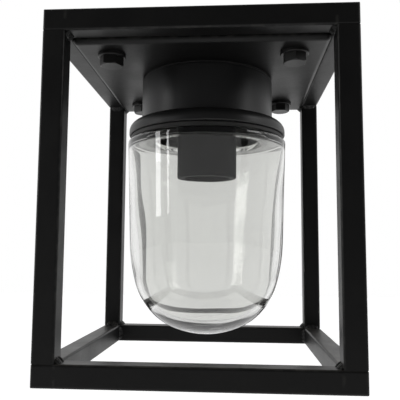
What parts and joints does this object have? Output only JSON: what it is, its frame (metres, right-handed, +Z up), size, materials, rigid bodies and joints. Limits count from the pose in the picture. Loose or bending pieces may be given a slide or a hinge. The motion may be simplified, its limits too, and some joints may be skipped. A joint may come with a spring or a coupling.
{
  "type": "porch ceiling lantern",
  "caption": "Ceiling lantern: open cage of black square tube with a flat ceiling pan and a thick clear glass jar that screws up round a large screw-cap lampholder.",
  "frame": {"origin": "centre of the ceiling face, the plane of the cage's top and of the ceiling bracket's ring", "axes": "+Z up into the ceiling, +X right along the ceiling-screw slots, +Y to the back"},
  "size_m": [0.18, 0.18, 0.213],
  "materials": {
    "powder_coat": "satin black powder coat on welded steel",
    "housing_coat": "satin black coat on die-cast aluminium",
    "black_hardware": "black coated steel bolts and washers",
    "zinc_steel": "bright zinc plate",
    "seal_rubber": "matt black rubber",
    "clear_glass": "thick pressed clear glass, fire polished",
    "black_thermoplastic": "fine satin moulded thermoplastic",
    "white_ceramic": "glazed steatite insulator",
    "brass": "plain brass",
    "block_nylon": "natural moulded nylon",
    "brown_insulation": "brown insulated lead",
    "blue_insulation": "blue insulated lead",
    "earth_insulation": "green and yellow insulated lead"
  },
  "bodies": {
    "lantern": {"top_rail_front": "powder_coat", "top_rail_right": "powder_coat", "top_rail_back": "powder_coat", "top_rail_left": "powder_coat", "bottom_rail_front": "powder_coat", "bottom_rail_right": "powder_coat", "bottom_rail_back": "powder_coat", "bottom_rail_left": "powder_coat", "post_front_left": "powder_coat", "post_front_right": "powder_coat", "post_back_left": "powder_coat", "post_back_right": "powder_coat", "corner_welds": "powder_coat", "canopy_pan": "powder_coat", "pan_welds": "powder_coat", "ceiling_bracket": "zinc_steel", "bracket_weld_nuts": "zinc_steel", "nipple_nuts": "zinc_steel", "housing_screws": "zinc_steel", "holder_nipple": "zinc_steel", "fixing_bolts": "black_hardware", "fixing_washers": "black_hardware", "housing_gasket": "seal_rubber", "lamp_housing": "housing_coat", "lampholder_skirt": "black_thermoplastic", "lampholder_cap": "black_thermoplastic", "lampholder_insert": "white_ceramic", "lampholder_shell": "brass", "centre_terminal": "brass", "lampholder_terminals": "brass", "lampholder_terminal_screws": "brass", "terminal_block_screws": "brass", "earth_screw": "brass", "earth_tag": "brass", "terminal_block": "block_nylon", "terminal_block_fixing": "zinc_steel", "live_lead": "brown_insulation", "neutral_lead": "blue_insulation", "earth_lead": "earth_insulation"},
    "glass_seal": {"glass_gasket": "seal_rubber"},
    "glass": {"glass_jar": "clear_glass"},
    "contact_leaf": {"centre_contact": "brass"}
  },
  "joints": [
    {"name": "jar_drop", "type": "slide", "parent": "lantern", "child": "glass_seal", "axis": [0, 0, -1], "range_m": [0, 0.012]},
    {"name": "jar_unscrew", "type": "hinge", "parent": "glass_seal", "child": "glass", "pos_m": [0, 0, -0.0605], "axis": [0, 0, -1], "range_deg": [0, 720]},
    {"name": "contact_press", "type": "hinge", "parent": "lantern", "child": "contact_leaf", "pos_m": [0.008, 0, -0.0562], "axis": [0, 1, 0], "range_deg": [0, 8], "stiffness_Nm_per_rad": 0.2}
  ],
  "couplings": [
    {"joint": "jar_drop", "follows": "jar_unscrew", "m_per_rad": 0.00095493}
  ]
}
